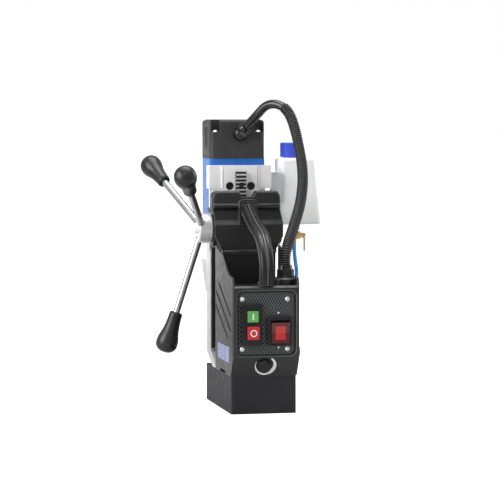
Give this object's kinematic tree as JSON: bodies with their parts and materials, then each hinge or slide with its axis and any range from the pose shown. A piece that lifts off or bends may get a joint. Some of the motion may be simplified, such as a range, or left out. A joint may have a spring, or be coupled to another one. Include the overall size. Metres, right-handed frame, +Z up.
{
  "type": "magnetic drill press",
  "caption": "Upright drill on a magnetic foot: a motor and spindle slide on a dovetail by a three-spoke capstan, with a control panel, carry handle, coolant tank and conduit.",
  "frame": {"origin": "centre of the magnet foot's contact face", "axes": "+Z up along the spindle and the slide, +Y away from the operator towards the spindle, +X to the operator's right; the control panel faces -Y"},
  "size_m": [0.2193, 0.2764, 0.38],
  "materials": {
    "black_casting": "textured powder coat",
    "magnet_paint": "satin black paint",
    "copper_winding": "enamelled",
    "resin": "cast resin",
    "zinc_screw": "zinc plated",
    "black_screw": "black oxide",
    "panel_black": "fine embossed grid",
    "switch_black": "gloss",
    "green_plastic": "gloss",
    "red_plastic": "gloss",
    "red_lens": "translucent",
    "knob_black": "gloss",
    "white_print": "printed",
    "board_green": "solder mask",
    "handle_rubber": "satin",
    "aluminium_machined": "machined",
    "bronze": "turned",
    "steel_ground": "ground",
    "chrome_rod": "polished",
    "grip_black": "satin",
    "motor_blue": "satin",
    "cap_black": "fine grain",
    "lamination": "stacked",
    "gearbox_alloy": "cast and brushed",
    "tank_white": "translucent",
    "cap_blue": "gloss",
    "valve_brass": "turned",
    "hose_blue": "gloss",
    "conduit_black": "corrugated",
    "gland_black": "satin",
    "label_blue": "printed",
    "bracket_grey": "satin"
  },
  "bodies": {
    "stand": {"magnet_block": "magnet_paint", "magnet_coils": "copper_winding", "magnet_potting": "resin", "magnet_bolts": "black_screw", "stand_housing": "black_casting", "panel_plate": "panel_black", "panel_screws": "zinc_screw", "motor_switch_frame": "switch_black", "rocker_frame": "switch_black", "speed_potentiometer": "switch_black", "panel_marks": "white_print", "control_board": "board_green", "carry_handle": "handle_rubber", "handle_screws": "black_screw", "conduit_gland": "gland_black", "mains_gland": "gland_black", "guide_frame": "aluminium_machined", "frame_bolts": "black_screw", "gib_strip": "bronze", "gib_screws": "zinc_screw", "feed_bushes": "bronze", "rating_label": "label_blue"},
    "carriage": {"slide_plate": "aluminium_machined", "rack": "steel_ground", "slide_screws": "black_screw", "motor_housing": "motor_blue", "motor_cap": "cap_black", "cap_screws": "zinc_screw", "motor_gland": "gland_black", "stator": "lamination", "brush_holders": "bronze", "gearbox_housing": "gearbox_alloy", "gearbox_screws": "black_screw", "gearbox_bearings": "steel_ground", "tank_bracket": "bracket_grey", "coolant_tank": "tank_white", "tank_valve": "valve_brass", "hose_fitting": "valve_brass", "coolant_hose": "hose_blue", "cable_sleeve": "gland_black", "conduit": "conduit_black"},
    "capstan": {"pinion_shaft": "steel_ground", "capstan_hub": "aluminium_machined", "hub_screw": "zinc_screw", "shaft_retaining_ring": "black_screw", "feed_spoke_1": "chrome_rod", "feed_spoke_2": "chrome_rod", "feed_spoke_3": "chrome_rod", "feed_knob_1": "grip_black", "feed_knob_2": "grip_black", "feed_knob_3": "grip_black"},
    "rotor": {"armature": "lamination"},
    "layshaft": {"intermediate_gear": "steel_ground"},
    "spindle": {"spindle_arbor": "steel_ground"},
    "filler_cap": {"tank_cap": "cap_blue"},
    "tap_lever": {"valve_lever": "valve_brass"},
    "start_key": {"start_button": "green_plastic"},
    "stop_key": {"stop_button": "red_plastic"},
    "rocker_key": {"magnet_rocker": "red_lens"},
    "speed_dial": {"speed_knob": "knob_black"}
  },
  "joints": [
    {"name": "carriage_slide", "type": "slide", "parent": "stand", "child": "carriage", "axis": [0, 0, 1], "range_m": [-0.05, 0.07], "deforming": ["conduit"]},
    {"name": "feed_spin", "type": "hinge", "parent": "stand", "child": "capstan", "pos_m": [0, 0.04, 0.219], "axis": [1, 0, 0], "range_deg": [-238.8, 334.3]},
    {"name": "rotor_spin", "type": "hinge", "parent": "carriage", "child": "rotor", "pos_m": [0, 0.106, 0.25], "axis": [0, 0, 1], "continuous": true},
    {"name": "layshaft_spin", "type": "hinge", "parent": "carriage", "child": "layshaft", "pos_m": [0.01501, 0.11802, 0.17], "axis": [0, 0, 1], "continuous": true},
    {"name": "spindle_spin", "type": "hinge", "parent": "carriage", "child": "spindle", "pos_m": [0, 0.106, 0.1], "axis": [0, 0, 1], "continuous": true},
    {"name": "filler_cap_turn", "type": "hinge", "parent": "carriage", "child": "filler_cap", "pos_m": [0.072, 0.089, 0.315], "axis": [0, 0, 1], "range_deg": [0, 360]},
    {"name": "tap_lever_turn", "type": "hinge", "parent": "carriage", "child": "tap_lever", "pos_m": [0.088, 0.08, 0.207], "axis": [1, 0, 0], "range_deg": [0, 90]},
    {"name": "start_key_press", "type": "slide", "parent": "stand", "child": "start_key", "axis": [0, 1, 0], "range_m": [0, 0.003], "stiffness_N_per_m": 600},
    {"name": "stop_key_press", "type": "slide", "parent": "stand", "child": "stop_key", "axis": [0, 1, 0], "range_m": [0, 0.003], "stiffness_N_per_m": 600},
    {"name": "rocker_tip", "type": "hinge", "parent": "stand", "child": "rocker_key", "pos_m": [0.017, -0.088, 0.09975], "axis": [1, 0, 0], "range_deg": [-9, 0]},
    {"name": "speed_dial_turn", "type": "hinge", "parent": "stand", "child": "speed_dial", "pos_m": [-0.0015, -0.08798, 0.0593], "axis": [0, -0.8575, -0.5145], "range_deg": [0, 270]}
  ],
  "couplings": [
    {"joint": "feed_spin", "follows": "carriage_slide", "rad_per_m": 83.333},
    {"joint": "layshaft_spin", "follows": "rotor_spin", "ratio": -0.26316},
    {"joint": "spindle_spin", "follows": "rotor_spin", "ratio": 0.087719}
  ]
}
